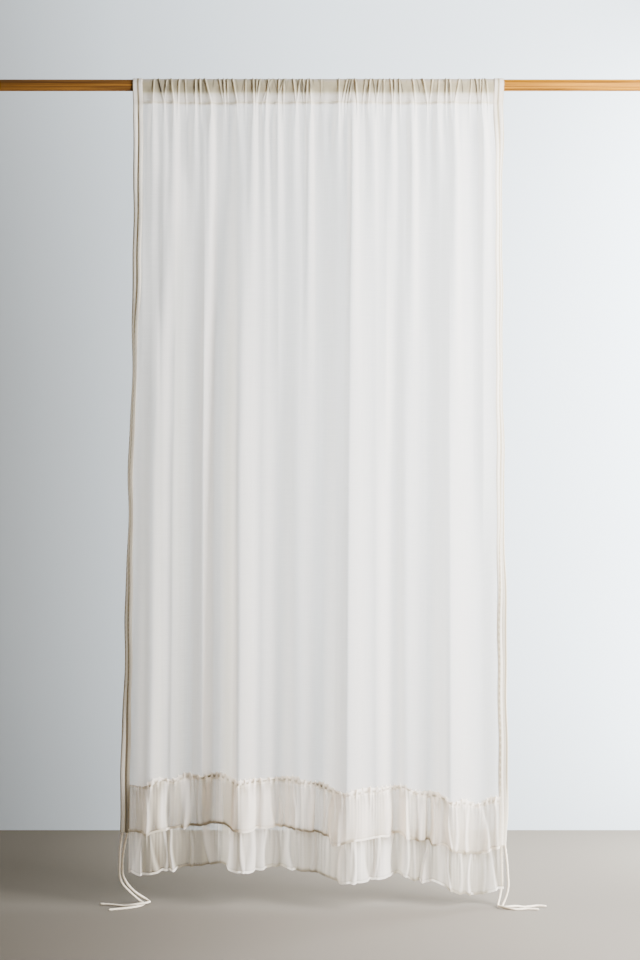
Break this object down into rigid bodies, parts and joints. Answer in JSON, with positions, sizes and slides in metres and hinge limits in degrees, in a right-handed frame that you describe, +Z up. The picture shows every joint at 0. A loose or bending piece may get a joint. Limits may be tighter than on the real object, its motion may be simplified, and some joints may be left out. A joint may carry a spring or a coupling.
{
  "type": "roman shade on a rod",
  "caption": "Sheer gathered roman shade with a rod pocket, corded side casings and a tiered ruffled hem, hanging from a round wooden rod.",
  "frame": {"origin": "on the rod's axis, midway along the rod", "axes": "+X along the rod to the viewer's right, +Y away from the viewer, towards the window behind the shade, +Z up"},
  "size_m": [1.8, 0.1507, 2.0232],
  "materials": {
    "wood": "waxed honey-coloured softwood",
    "voile": "sheer off-white cotton voile",
    "casing": "folded off-white cotton voile over a cord",
    "cord": "soft cotton cord"
  },
  "bodies": {
    "root": {"rod": "wood", "panel": "voile", "casing_left": "casing", "casing_right": "casing", "ruffle_upper": "voile", "ruffle_lower": "voile", "tie_left_outer": "cord", "tie_left_inner": "cord", "tie_right_outer": "cord", "tie_right_inner": "cord"}
  },
  "joints": []
}
